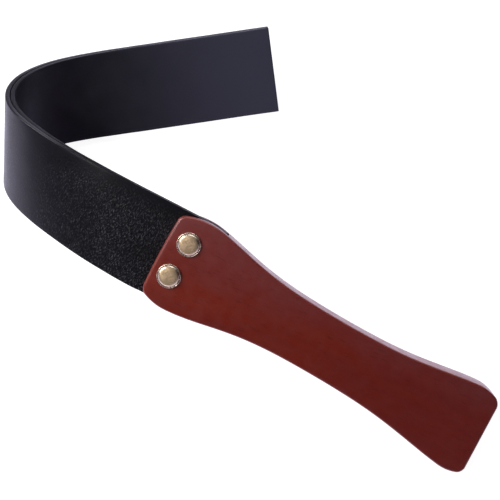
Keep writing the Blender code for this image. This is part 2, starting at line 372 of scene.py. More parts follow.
class SharedEffects:
    """Surface effects that more than one finish uses, each a node group built once."""

    def __init__(self) -> None:
        """Build every group."""
        self.mottle = self._mottle()
        self.scuffs = self._scuffs()
        self.pebble = self._pebble()

    @staticmethod
    def _mottle() -> bpy.types.NodeTree:
        """Cloudy colour variation between two colours."""
        sheet, given, out = new_group(
            "cloudy_mottle",
            {
                "Place": (SocketKind.VECTOR, None),
                "Scale": (SocketKind.VALUE, 40.0),
                "Contrast": (SocketKind.VALUE, 0.2),
                "Base": (SocketKind.COLOUR, (0.5, 0.5, 0.5, 1.0)),
                "Stain": (SocketKind.COLOUR, (0.2, 0.2, 0.2, 1.0)),
            },
            {"Colour": SocketKind.COLOUR, "Mask": SocketKind.VALUE},
        )
        cloud = sheet.noise(given["Place"], given["Scale"], detail=4.0, rough=0.55)
        low = sheet.math("SUBTRACT", 0.5, given["Contrast"])
        high = sheet.math("ADD", 0.5, given["Contrast"])
        mask = sheet.remap(cloud, low, high)
        sheet.feed(out.inputs["Mask"], mask)
        sheet.feed(out.inputs["Colour"], sheet.mix(mask, given["Base"], given["Stain"]))
        return sheet.tree

    @staticmethod
    def _scuffs() -> bpy.types.NodeTree:
        """Fine handling marks: sparse hairlines and specks, as a mask and a height."""
        sheet, given, out = new_group(
            "handling_scuffs",
            {
                "Place": (SocketKind.VECTOR, None),
                "Scale": (SocketKind.VALUE, 60.0),
                "Amount": (SocketKind.VALUE, 0.5),
            },
            {"Mask": SocketKind.VALUE, "Height": SocketKind.VALUE},
        )
        drawn = sheet.scaled(given["Place"], (0.25, 1.0, 2.6), turn=0.35)
        hairs = sheet.noise(drawn, sheet.math("MULTIPLY", given["Scale"], 9.0), detail=2.0)
        hairs = sheet.remap(hairs, 0.66, 0.74)
        patches = sheet.remap(sheet.noise(given["Place"], given["Scale"], detail=2.0), 0.48, 0.7)
        mask = sheet.math("MULTIPLY", sheet.math("MULTIPLY", hairs, patches), given["Amount"])
        sheet.feed(out.inputs["Mask"], mask)
        sheet.feed(out.inputs["Height"], sheet.math("SUBTRACT", 1.0, mask))
        return sheet.tree

    @staticmethod
    def _pebble() -> bpy.types.NodeTree:
        """Leather grain: small rounded pebbles parted by creases, with finer pores on them."""
        sheet, given, out = new_group(
            "leather_pebble",
            {
                "Place": (SocketKind.VECTOR, None),
                "Cells": (SocketKind.VALUE, 900.0),
                "Wander": (SocketKind.VALUE, 0.5),
            },
            {
                "Height": SocketKind.VALUE,
                "Crease": SocketKind.VALUE,
                "Crest": SocketKind.VALUE,
                "Patch": SocketKind.VALUE,
            },
        )
        wander = sheet.add("ShaderNodeTexNoise")
        sheet.feed(wander.inputs["Vector"], given["Place"])
        wander.inputs["Scale"].default_value = 260.0
        centred = sheet.add("ShaderNodeVectorMath", operation="SUBTRACT")
        sheet.feed(centred.inputs[0], wander.outputs["Color"])
        centred.inputs[1].default_value = (0.5, 0.5, 0.5)
        pushed = sheet.add("ShaderNodeVectorMath", operation="SCALE")
        sheet.feed(pushed.inputs[0], centred.outputs[0])
        shift = sheet.math("MULTIPLY", given["Wander"], 0.002)
        sheet.feed(pushed.inputs["Scale"], shift)
        moved = sheet.add("ShaderNodeVectorMath", operation="ADD")
        sheet.feed(moved.inputs[0], given["Place"])
        sheet.feed(moved.inputs[1], pushed.outputs[0])
        cells = sheet.add("ShaderNodeTexVoronoi", feature="DISTANCE_TO_EDGE")
        sheet.feed(cells.inputs["Vector"], moved.outputs[0])
        sheet.feed(cells.inputs["Scale"], given["Cells"])
        crease = sheet.remap(cells.outputs["Distance"], 0.0, 0.42, 1.0, 0.0)
        drawn = sheet.scaled(moved.outputs[0], (1.0, 0.55, 1.0))
        polish = sheet.noise(drawn, sheet.math("MULTIPLY", given["Cells"], 2.1), detail=1.0)
        crest = sheet.math("MULTIPLY", sheet.remap(polish, 0.52, 0.64), sheet.math(
            "SUBTRACT", 1.0, sheet.math("MULTIPLY", crease, 0.6)))
        pores = sheet.noise(given["Place"], sheet.math("MULTIPLY", given["Cells"], 2.6), detail=2.0)
        patch = sheet.remap(sheet.noise(given["Place"], 55.0, detail=2.0), 0.3, 0.6, 0.45, 1.0)
        rise = sheet.math("SUBTRACT", 1.0, crease)
        height = sheet.math("ADD", rise, sheet.math("MULTIPLY", pores, 0.25))
        height = sheet.math("ADD", height, sheet.math("MULTIPLY", crest, 0.5))
        sheet.feed(out.inputs["Height"], height)
        sheet.feed(out.inputs["Crease"], crease)
        sheet.feed(out.inputs["Crest"], crest)
        sheet.feed(out.inputs["Patch"], patch)
        return sheet.tree


def use_group(sheet: NodeSheet, group: bpy.types.NodeTree, **inputs: object) -> bpy.types.Node:
    """Place a shared group in a material with its own values."""
    node = sheet.add("ShaderNodeGroup", node_tree=group)
    for label, source in inputs.items():
        sheet.feed(node.inputs[label.capitalize()], opaque(source))
    return node


def new_material(name: str) -> tuple[bpy.types.Material, NodeSheet, bpy.types.Node]:
    """Start a material.

    Returns:
        The material, the sheet of its nodes and its Principled shader.
    """
    material = bpy.data.materials.new(name)
    material.use_nodes = True
    return material, NodeSheet(material.node_tree), material.node_tree.nodes["Principled BSDF"]


# --------------------------------------------------------------------------------------------
# Finishes
# --------------------------------------------------------------------------------------------


@dataclass(frozen=True)
class LacquerFinish:
    """Red-brown stained hardwood under satin lacquer, rubbed thin along its rounded edges."""

    stain: Colour = (0.225, 0.0185, 0.0070)
    deep_stain: Colour = (0.190, 0.0150, 0.0080)
    # Purple-grey painted reflection for the upper part of the face.
    reflection_tint: Colour = (0.200, 0.0350, 0.0330)
    pore: Colour = (0.085, 0.009, 0.008)
    rubbed: Colour = (0.34, 0.070, 0.048)
    roughness: float = 0.36
    coat: float = 0.30
    coat_roughness: float = 0.14

    def material(self, effects: SharedEffects) -> bpy.types.Material:
        """Build the wood's material.

        Args:
            effects: the shared node groups.

        Returns:
            The material, which reads the stored place and edge share.
        """
        material, sheet, shader = new_material("red_lacquered_wood")
        place = sheet.attribute(REST_ATTRIBUTE).outputs["Vector"]
        edge = sheet.attribute(EDGE_ATTRIBUTE).outputs["Fac"]
        grain_place = sheet.scaled(place, (0.16, 1.0, 1.0))
        mottle = use_group(
            sheet, effects.mottle, place=grain_place, scale=95.0, contrast=0.2,
            base=self.stain, stain=self.deep_stain,
        )
        fibre_place = sheet.scaled(place, (0.05, 1.0, 1.0))
        fibres = sheet.noise(fibre_place, 1500.0, detail=4.0, rough=0.65)
        pores = sheet.remap(sheet.noise(sheet.scaled(place, (0.1, 1.0, 1.0)), 1900.0), 0.60, 0.72)
        speckle = sheet.noise(place, 1300.0, detail=3.0, rough=0.7)
        colour = sheet.mix(sheet.remap(fibres, 0.35, 0.75, 0.0, 0.2), mottle.outputs["Colour"],
                           self.deep_stain)
        across = sheet.add("ShaderNodeSeparateXYZ")
        sheet.feed(across.inputs[0], place)
        # A purple-grey tint is painted over the upper part of the face, fading out towards its lower edge:
        # a painted reflection of the surroundings.
        cloud = sheet.math("MULTIPLY", sheet.noise(place, 26.0, detail=1.0), 30 * MM)
        reflection_tint_share = sheet.remap(sheet.math("ADD", across.outputs[2], cloud), -2 * MM, 22 * MM, 0.85, 0.0)
        colour = sheet.mix(reflection_tint_share, colour, self.reflection_tint)
        colour = sheet.mix(sheet.remap(speckle, 0.5, 0.75, 0.0, 0.15), colour, self.rubbed)
        colour = sheet.mix(sheet.math("MULTIPLY", pores, 0.45), colour, self.pore)
        wear = sheet.math("MULTIPLY", edge, sheet.remap(sheet.noise(place, 240.0), 0.3, 0.7, 0.2, 0.75))
        colour = sheet.mix(wear, colour, self.rubbed)
        scuffs = use_group(sheet, effects.scuffs, place=place, scale=70.0, amount=0.6)
        colour = sheet.mix(sheet.math("MULTIPLY", scuffs.outputs["Mask"], 0.35), colour, self.rubbed)
        sheet.feed(shader.inputs["Base Color"], colour)
        rough = sheet.remap(sheet.noise(place, 160.0), 0.3, 0.7, self.roughness - 0.05,
                            self.roughness + 0.07)
        rough = sheet.math("ADD", rough, sheet.math("MULTIPLY", scuffs.outputs["Mask"], 0.15))
        sheet.feed(shader.inputs["Roughness"], rough)
        coat = sheet.math("SUBTRACT", self.coat, sheet.math("MULTIPLY", wear, 0.2))
        sheet.feed(shader.inputs["Coat Weight"], coat)
        shader.inputs["Coat Roughness"].default_value = self.coat_roughness
        height = sheet.math("SUBTRACT", sheet.math("MULTIPLY", fibres, 0.5), pores)
        height = sheet.math("ADD", height, sheet.math("MULTIPLY", speckle, 0.5))
        sheet.feed(shader.inputs["Normal"], sheet.bump(height, 0.35, 0.00004))
        return material


@dataclass(frozen=True)
class LeatherFinish:
    """Dyed strap leather: a pebbled or napped face, and burnished edges."""

    name: str
    dye: Colour
    faded: Colour
    roughness: float = 0.33
    cells: float = 950.0
    relief: float = 0.00022
    # Grey of the glints painted on the pebble crests.
    crest_glint: Colour = (0.075, 0.073, 0.078)
    crest_glint_share: float = 1.0
    bend_polish: float = 0.5
    smooth_side: float = 12.0 * MM
    # How strongly the painted sheen lightens the tail's end.
    tail_sheen: float = 0.0
    gloss: float = 0.15
    half_width: float = 22.75 * MM

    def material(self, effects: SharedEffects) -> bpy.types.Material:
        """Build one ply's material.

        Args:
            effects: the shared node groups.

        Returns:
            The material, which reads the stored place and edge share.
        """
        material, sheet, shader = new_material(self.name)
        place = sheet.attribute(REST_ATTRIBUTE).outputs["Vector"]
        edge = sheet.attribute(EDGE_ATTRIBUTE).outputs["Fac"]
        apart = sheet.add("ShaderNodeSeparateXYZ")
        sheet.feed(apart.inputs[0], place)
        grain = use_group(
            sheet, effects.pebble, place=sheet.scaled(place, (1.0, 0.7, 1.0)), cells=self.cells,
            wander=0.6,
        )
        mottle = use_group(
            sheet, effects.mottle, place=place, scale=60.0, contrast=0.22, base=self.dye,
            stain=self.faded,
        )
        scuffs = use_group(sheet, effects.scuffs, place=place, scale=45.0, amount=0.8)
        crease = grain.outputs["Crease"]
        # The creases between pebbles are painted darker: painted shade in the creases.
        colour = sheet.mix(sheet.math("MULTIPLY", crease, 0.5), mottle.outputs["Colour"],
                           tuple(channel * 0.45 for channel in self.dye))
        colour = sheet.mix(sheet.math("MULTIPLY", scuffs.outputs["Mask"], 0.5), colour, self.faded)
        off_middle = sheet.math("DIVIDE", sheet.math("ABSOLUTE", apart.outputs[1]), self.half_width)
        rub = sheet.remap(off_middle, 0.90, 0.985, 0.0, 0.5)
        rub = sheet.math("MULTIPLY", rub, sheet.remap(sheet.noise(place, 180.0), 0.35, 0.65, 0.4, 1.0))
        colour = sheet.mix(rub, colour, self.faded)
        pressed = sheet.remap(apart.outputs[1], -self.half_width, self.smooth_side - self.half_width)
        rough_patch = sheet.math("MULTIPLY", sheet.math("SUBTRACT", 1.0, edge), pressed)
        rough_patch = sheet.math("MULTIPLY", rough_patch, grain.outputs["Patch"])
        slack = sheet.remap(apart.outputs[0], 0.024, 0.084, 1.0, 0.0)
        rough_patch = sheet.math("MULTIPLY", rough_patch, slack)
        polish = sheet.math("MULTIPLY", sheet.math("SUBTRACT", 1.0, slack), self.bend_polish)
        sheet.feed(shader.inputs["Coat Weight"], polish)
        shader.inputs["Coat Roughness"].default_value = 0.3
        shader.inputs["Coat Tint"].default_value = (0.86, 0.83, 1.0, 1.0)
        # Light grey specks are painted on the pebble crests near the handle: painted glints of light.
        crest_glint_mask = sheet.math("MULTIPLY", grain.outputs["Crest"], rough_patch)
        crest_glint_mask = sheet.math("MULTIPLY", crest_glint_mask, self.crest_glint_share)
        colour = sheet.mix(crest_glint_mask, colour, self.crest_glint)
        # Towards the tail's end the ply is painted a lighter blue-grey: a painted sheen standing in for the
        # light that falls on it.
        tail_sheen_mask = sheet.remap(apart.outputs[0], 0.160, 0.262, 0.0, self.tail_sheen)
        colour = sheet.mix(tail_sheen_mask, colour, (0.045, 0.045, 0.068))
        sheet.feed(shader.inputs["Base Color"], colour)
        rough = sheet.math("ADD", self.roughness, sheet.math("MULTIPLY", crease, 0.2))
        rough = sheet.math("ADD", rough, sheet.remap(sheet.noise(place, 90.0), 0.3, 0.7, -0.05, 0.06))
        sheet.feed(shader.inputs["Roughness"], rough)
        shader.inputs["Specular IOR Level"].default_value = self.gloss
        shader.inputs["Specular Tint"].default_value = (0.88, 0.85, 1.0, 1.0)
        strength = sheet.math("ADD", 0.12, sheet.math("MULTIPLY", rough_patch, 0.88))
        height = sheet.math("MULTIPLY", grain.outputs["Height"], strength)
        sheet.feed(shader.inputs["Normal"], sheet.bump(height, 1.0, self.relief))
        return material


@dataclass(frozen=True)
class CutEdgeFinish:
    """The strap's cut edges: black edge paint over the leather's layered fibres."""

    paint: Colour = (0.0025, 0.0025, 0.0030)
    thin_paint: Colour = (0.0090, 0.0088, 0.0086)
    gloss: float = 0.08

    def material(self, effects: SharedEffects) -> bpy.types.Material:
        """Build the edges' material.

        Args:
            effects: the shared node groups.

        Returns:
            The material, which reads the stored place.
        """
        material, sheet, shader = new_material("painted_leather_edge")
        place = sheet.attribute(REST_ATTRIBUTE).outputs["Vector"]
        mottle = use_group(
            sheet, effects.mottle, place=place, scale=240.0, contrast=0.2, base=self.paint,
            stain=self.thin_paint,
        )
        sheet.feed(shader.inputs["Base Color"], mottle.outputs["Colour"])
        layers = sheet.noise(sheet.scaled(place, (0.12, 1.0, 1.0)), 2600.0, detail=3.0)
        sheet.feed(shader.inputs["Roughness"], sheet.remap(layers, 0.3, 0.7, 0.5, 0.72))
        shader.inputs["Specular IOR Level"].default_value = self.gloss
        sheet.feed(shader.inputs["Normal"], sheet.bump(layers, 0.5, 0.00012))
        return material


@dataclass(frozen=True)
class BrassFinish:
    """Nickel-washed brass gone dull on its crown, bright where it rubs, with painted shade in its groove.
    """

    worn: Colour = (0.90, 0.66, 0.42)
    tarnish: Colour = (0.60, 0.44, 0.27)
    bright: Colour = (0.95, 0.80, 0.66)
    # Near-black colour painted into the groove as shade.
    groove_shade: Colour = (0.035, 0.026, 0.020)
    groove_radius: float = 5.34 * MM
    crown_radius: float = 4.4 * MM

    def material(self, effects: SharedEffects) -> bpy.types.Material:
        """Build the rivets' material.

        Args:
            effects: the shared node groups.

        Returns:
            The material, which reads each point's place about the rivet's own axis.
        """
        material, sheet, shader = new_material("aged_brass")
        place = sheet.attribute(REST_ATTRIBUTE).outputs["Vector"]
        apart = sheet.add("ShaderNodeSeparateXYZ")
        sheet.feed(apart.inputs[0], place)
        flat = sheet.add("ShaderNodeCombineXYZ")
        sheet.feed(flat.inputs[0], apart.outputs[0])
        sheet.feed(flat.inputs[2], apart.outputs[2])
        reach = sheet.add("ShaderNodeVectorMath", operation="LENGTH")
        sheet.feed(reach.inputs[0], flat.outputs[0])
        radius = reach.outputs["Value"]
        mottle = use_group(
            sheet, effects.mottle, place=place, scale=420.0, contrast=0.10, base=self.worn,
            stain=self.tarnish,
        )
        rubbed = sheet.remap(radius, self.crown_radius - 0.3 * MM, self.crown_radius + 0.5 * MM)
        rubbed = sheet.math("MULTIPLY", rubbed,
                            sheet.remap(sheet.noise(place, 700.0), 0.25, 0.6, 0.45, 1.0))
        colour = sheet.mix(rubbed, mottle.outputs["Colour"], self.bright)
        # A ring of painted shade in the groove: near-black, less metallic and rougher.
        off_groove = sheet.math("ABSOLUTE", sheet.math("SUBTRACT", radius, self.groove_radius))
        groove_shade_mask = sheet.remap(off_groove, 0.06 * MM, 0.2 * MM, 0.85, 0.0)
        colour = sheet.mix(groove_shade_mask, colour, self.groove_shade)
        scuffs = use_group(sheet, effects.scuffs, place=place, scale=260.0, amount=0.7)
        colour = sheet.mix(sheet.math("MULTIPLY", scuffs.outputs["Mask"], 0.6), colour, self.bright)
        sheet.feed(shader.inputs["Base Color"], colour)
        sheet.feed(shader.inputs["Metallic"], sheet.math("SUBTRACT", 1.0, groove_shade_mask))
        rough = sheet.remap(mottle.outputs["Mask"], 0.0, 1.0, 0.46, 0.62)
        rough = sheet.math("SUBTRACT", rough, sheet.math("MULTIPLY", rubbed, 0.28))
        rough = sheet.math("ADD", rough, sheet.math("MULTIPLY", groove_shade_mask, 0.3), clamp=True)
        sheet.feed(shader.inputs["Roughness"], rough)
        pits = sheet.noise(place, 2400.0, detail=3.0, rough=0.6)
        sheet.feed(shader.inputs["Normal"], sheet.bump(pits, 0.3, 0.00006))
        return material


# --------------------------------------------------------------------------------------------
# The strap
# --------------------------------------------------------------------------------------------


@dataclass
class StrapPath:
    """The folded strap's middle surface: straight rulings that lean across a bending middle line."""

    length: float = 263.0 * MM
    lead_curvature: float = 7.5
    lead_ramp: float = 25.0 * MM
    bend_curvature: float = 34.8
    bend_start: float = 86.3 * MM
    bend_start_ramp: float = 36.5 * MM
    bend_end: float = 152.4 * MM
    bend_end_ramp: float = 73.9 * MM
    ruling_centre: float = 110.0 * MM
    ruling_span: float = 60.0 * MM
    ruling_ramp: float = 40.0 * MM
    ruling_slope: float = -0.246
    ruling_twist: float = 0.153
    ruling_flare: float = -0.461
    ruling_lean_end: float = 1.4
    step: float = 0.25 * MM

    def __post_init__(self) -> None:
        """Integrate the middle line's frame, which turns and twists along the strap."""
        self.stations = np.arange(0.0, self.length + 60 * MM, self.step)
        self.slopes = np.array([self.slope(station) for station in self.stations])
        points, frames = [Vector((0, 0, 0))], [Matrix.Identity(3)]
        for station in self.stations[:-1] + self.step / 2:
            bend = self.curvature(station) * self.step
            twist = self.slope(station) * bend
            along, inward, across = frames[-1]
            turn = Matrix.Rotation(sqrt(bend * bend + twist * twist), 3, across * bend + along * twist)
            frames.append(Matrix([turn @ axis for axis in (along, inward, across)]))
            points.append(points[-1] + (along + frames[-1][0]) * self.step / 2)
        self.points = np.array(points)
        self.frames = np.array(frames).reshape(-1, 9)

    def curvature(self, station: float) -> float:
        """Curvature of the middle line at a station."""
        into_bend = smoothstep((station - self.bend_start) / self.bend_start_ramp + 0.5)
        out_of_bend = smoothstep((station - self.bend_end) / self.bend_end_ramp + 0.5)
        lead = self.lead_curvature * smoothstep(station / self.lead_ramp)
        return lead * (1 - into_bend) + self.bend_curvature * into_bend * (1 - out_of_bend)

    def slope(self, station: float) -> float:
        """Lean of the ruling at a station, as distance along the strap per distance across it."""
        along = min((station - self.ruling_centre) / self.ruling_span, self.ruling_lean_end)
        lean = self.ruling_slope + self.ruling_twist * along + self.ruling_flare * along * along
        return lean * smoothstep(station / self.ruling_ramp)

    def place(self, flat: float, across: float, outward: float) -> Vector:
        """Where a point of the flat strap lies once the strap is bent.

        Args:
            flat: distance from the handle's mouth, measured on the flat leather.
            across: distance from the strap's middle line.
            outward: height above the middle surface, on the outside of the fold.

        Returns:
            The point in the working frame.
        """
        if flat <= 0:
            return Vector((flat, -outward, across))
        station = float(np.interp(flat, self.stations + across * self.slopes, self.stations))
        index = station / self.step
        low = min(int(index), len(self.stations) - 2)
        share = index - low
        middle = self.points[low] * (1 - share) + self.points[low + 1] * share
        axes = self.frames[low] * (1 - share) + self.frames[low + 1] * share
        along, inward, width = axes[0:3], axes[3:6], axes[6:9]
        return Vector(middle + across * (self.slope(station) * along + width) - outward * inward)


class PlySide(Enum):
    """Which of the strap's two leathers: the value is the sign of its height."""

    OUTER = 1
    INNER = -1


@dataclass
class Strap:
    """Two leather plies, laid together, folded over and held in the handle's slot."""

    path: StrapPath = field(default_factory=StrapPath)
    width: float = 45.5 * MM
    tang: float = 23.5 * MM
    tang_trim: float = 1.0 * MM
    tang_trim_length: float = 9.5 * MM
    ply_thickness: float = 2.3 * MM
    ply_gap: float = 0.3 * MM
    edge_radius: float = 0.5 * MM
    columns: int = 46
    row_spacing: float = 1.1 * MM
    edge_steps: int = 4
    wave: float = 0.12 * MM
    unevenness: float = 0.035 * MM
    flex_station: float = 116.0 * MM
    hole_radius: float = 1.9 * MM

    @property
    def thickness(self) -> float:
        """Both plies and the gap between them."""
        return 2 * self.ply_thickness + self.ply_gap

    def flex_point(self) -> Vector:
        """Middle of the line that the tail flexes about, on the fold's outer face."""
        return self.path.place(self.flex_station, 0.0, self.thickness / 2)

    def _half_section(self, inset: float, corner: float) -> list[tuple[float, float]]:
        """Upper half of a ply's cross-section, as (across, height) from one edge to the other."""
        half_width, half_height = self.width / 2 - inset, self.ply_thickness / 2 - inset
        quarter = []
        for i in range(self.edge_steps + 1):
            angle = pi / 2 * i / self.edge_steps
            quarter.append((half_width - corner + corner * cos(angle),
                            half_height - corner + corner * sin(angle)))
        face = [(half_width - corner) * (1 - 2 * i / self.columns) for i in range(1, self.columns)]
        right = [(half_width, 0.0), *quarter]
        left = [(-across, height) for across, height in reversed(right)]
        return [*right, *((across, half_height) for across in face), *left]

    def _trimmed(self, flat: float) -> float:
        """How much is cut off the tang's low side at a distance along the strap."""
        return self.tang_trim * max(0.0, 1 - (flat + self.tang) / self.tang_trim_length)

    def _rows(self) -> list[tuple[float, float, float]]:
        """Every row's (flat distance, inset, corner radius), rounded off at both ends."""
        radius, start, stop = self.edge_radius, -self.tang, self.path.length
        turned = [radians(90) * i / self.edge_steps for i in range(1, self.edge_steps)] + [radians(82)]
        ends = [(radius * (1 - sin(a)), radius * (1 - cos(a)), radius * cos(a)) for a in turned]
        count = round((stop - start - 2 * radius) / self.row_spacing)
        flats = [start + radius + (stop - start - 2 * radius) * i / count for i in range(count + 1)]
        return (
            [(start + gap, inset, corner) for gap, inset, corner in reversed(ends)]
            + [(flat, 0.0, radius) for flat in flats]
            + [(stop - gap, inset, corner) for gap, inset, corner in ends]
        )

    def _flat_ply(self, side: PlySide) -> bmesh.types.BMesh:
        """One ply as it is cut: flat, with burnished edges and a slightly uneven surface."""
        shape = bmesh.new()
        middle = side.value * (self.ply_gap + self.ply_thickness) / 2
        loops = []
        for flat, inset, corner in self._rows():
            upper = self._half_section(inset, corner)
            section = upper + [(across, -height) for across, height in reversed(upper[1:-1])]
            loop = []
            for across, height in section:
                spot = (flat, across, middle + height)
                shared = self.wave * undulation((flat * 0.7, across, 0.0), 26 * MM)
                shared *= smoothstep((flat - 4 * MM) / (30 * MM))
                own = self.unevenness * undulation(spot, 9 * MM)
                wander = 0.1 * MM * undulation((flat, side.value * 1.0, 0.0), 14 * MM)
                wander *= across / (self.width / 2) * smoothstep(flat / (10 * MM))
                wander += self._trimmed(flat) * (0.5 - across / self.width)
                spot = (flat, across + wander, middle + height + shared + own)
                loop.append(shape.verts.new(spot))
            loops.append(loop)
        for low, high in zip(loops, loops[1:]):
            for i, corner_vert in enumerate(low):
                j = (i + 1) % len(low)
                shape.faces.new((corner_vert, low[j], high[j], high[i]))
        for loop in (loops[0], loops[-1]):
            half = len(loop) // 2
            for i in range(half):
                ring = (loop[i], loop[i + 1], loop[-1 - i], loop[-i])
                shape.faces.new(list(dict.fromkeys(ring)))
        return shape

    def _edge_shares(self, flat_places: np.ndarray, side: PlySide) -> np.ndarray:
        """How far each point is rounded over the edge, from 0 on a face to 1 on the cut edge."""
        middle = side.value * (self.ply_gap + self.ply_thickness) / 2
        trims = np.array([self._trimmed(flat) for flat in flat_places[:, 0]])
        off_side = self.width / 2 - np.maximum(flat_places[:, 1], trims - flat_places[:, 1])
        off_end = np.minimum(self.path.length - flat_places[:, 0], flat_places[:, 0] + self.tang)
        near = np.minimum(off_side, off_end)
        depth = self.ply_thickness / 2 - np.abs(flat_places[:, 2] - middle)
        turned = np.clip(1 - near / self.edge_radius, 0, 1) + np.clip(depth / self.edge_radius, 0, 1)
        return np.clip(turned, 0, 1)

    @staticmethod
    def _mark_edges(piece: bpy.types.Object) -> None:
        """Give the second material slot to every face that lies on a cut edge."""
        shares = np.zeros(len(piece.data.vertices), np.float32)
        piece.data.attributes[EDGE_ATTRIBUTE].data.foreach_get("value", shares)
        for face in piece.data.polygons:
            face.material_index = int(min(shares[index] for index in face.vertices) > 0.45)

    def build_ply(self, side: PlySide, holes: Iterable[tuple[float, float]]) -> bpy.types.Object:
        """Cut, punch and bend one ply.

        Args:
            side: which ply.
            holes: each rivet hole's (flat distance, distance across).

        Returns:
            The ply in the working frame.
        """
        piece = new_piece(f"leather_{side.name.lower()}_ply", self._flat_ply(side))
        drills = [round_drill(Vector((flat, across, 0)), "Z", self.hole_radius) for flat, across in holes]
        carve(piece, drills)
        flat_places = vertex_places(piece)
        store_points(piece, REST_ATTRIBUTE, flat_places)
        store_values(piece, EDGE_ATTRIBUTE, self._edge_shares(flat_places, side))
        self._mark_edges(piece)
        bent = [self.path.place(*(float(part) for part in spot)) for spot in flat_places]
        piece.data.vertices.foreach_set("co", np.array(bent, np.float32).ravel())
        shade(piece, radians(50))
        return piece


# --------------------------------------------------------------------------------------------
# The rivets
# --------------------------------------------------------------------------------------------


class RivetHalf(Enum):
    """The two halves of a rivet: the value is the sign of Y that its cap faces."""

    SOCKET = -1
    PIN = 1


class RivetPlace(Enum):
    """The rivets' places across the strap: the value is the sign of Z."""

    UPPER = -1
    LOWER = 1


@dataclass
class Rivet:
    """A double-cap rivet: a front cap with a hollow socket, and a back cap with the pin in it."""

    place: RivetPlace
    seat: float = 6.3 * MM
    spacing: float = 18.0 * MM
    inset: float = 8.5 * MM
    line_slope: float = 0.0885
    line_shift: float = -0.28 * MM
    socket_radius: float = 1.6 * MM
    socket_wall: float = 0.5 * MM
    clearance: float = 0.3 * MM
    segments: int = 72
    dent: float = 0.035 * MM

    @property
    def centre(self) -> tuple[float, float]:
        """Distance along and across the strap."""
        across = self.place.value * self.spacing / 2
        return -self.inset + across * self.line_slope, across + self.line_shift

    @staticmethod
    def _cap() -> list[tuple[float, float]]:
        """Outer side of a cap as (radius, height): a flat crown, its shoulder, groove and rim."""
        turned = (
            (0.0, 2.02), (1.4, 2.01), (2.6, 1.97), (3.4, 1.88), (4.05, 1.72), (4.55, 1.50),
            (4.92, 1.22), (5.14, 0.92), (5.26, 0.64), (5.36, 0.52), (5.47, 0.56), (5.60, 0.68),
            (5.74, 0.70), (5.87, 0.60), (5.95, 0.42), (5.93, 0.20), (5.80, 0.05), (5.55, 0.0),
        )
        return smooth_profile([(radius * MM, height * MM) for radius, height in turned], 3)

    def _profile(self, half: RivetHalf) -> list[tuple[float, float]]:
        """One half's whole outline as (radius, height above the handle's middle)."""
        cap = [(radius, height + self.seat) for radius, height in self._cap()]
        floor = self.seat - 0.6 * MM
        if half is RivetHalf.PIN:
            pin = self.socket_radius - self.socket_wall - self.clearance
            shank = [(pin, self.seat), (pin, -floor + self.clearance), (0.0, -floor + self.clearance)]
            return cap + shank
        bore, tip = self.socket_radius - self.socket_wall, -self.seat + self.clearance
        return cap + [(self.socket_radius, self.seat), (self.socket_radius, tip), (bore, tip),
                      (bore, floor), (0.0, floor)]

    def build_half(self, half: RivetHalf) -> bpy.types.Object:
        """Turn one half and tap it with a few shallow dents.

        Args:
            half: the socket or the pin.

        Returns:
            The half in the working frame, seated on the handle.
        """
        shape = turned_shape(self._profile(half), self.segments)
        for vertex in shape.verts:
            spot = vertex.co.copy()
            spot.z += self.place.value * 20 * MM
            if spot.y > self.seat:
                vertex.co.y += self.dent * undulation(spot, 2.2 * MM)
        piece = new_piece(f"{self.place.name.lower()}_rivet_{half.name.lower()}", shape)
        store_points(piece, REST_ATTRIBUTE, vertex_places(piece))
        along, across = self.centre
        turn = Matrix.Rotation(pi if half is RivetHalf.SOCKET else 0.0, 4, "X")
        piece.data.transform(Matrix.Translation((along, 0, across)) @ turn)
        shade(piece, radians(40))
        return piece


# --------------------------------------------------------------------------------------------
# The handle
# --------------------------------------------------------------------------------------------


@dataclass
class Swell:
    """A smooth local widening of the handle."""

    extra: float
    centre: float
    reach: float

    def at(self, distance: float) -> float:
        """Width added at a distance from the strap end."""
        return self.extra * exp(-(((distance - self.centre) / self.reach) ** 2))


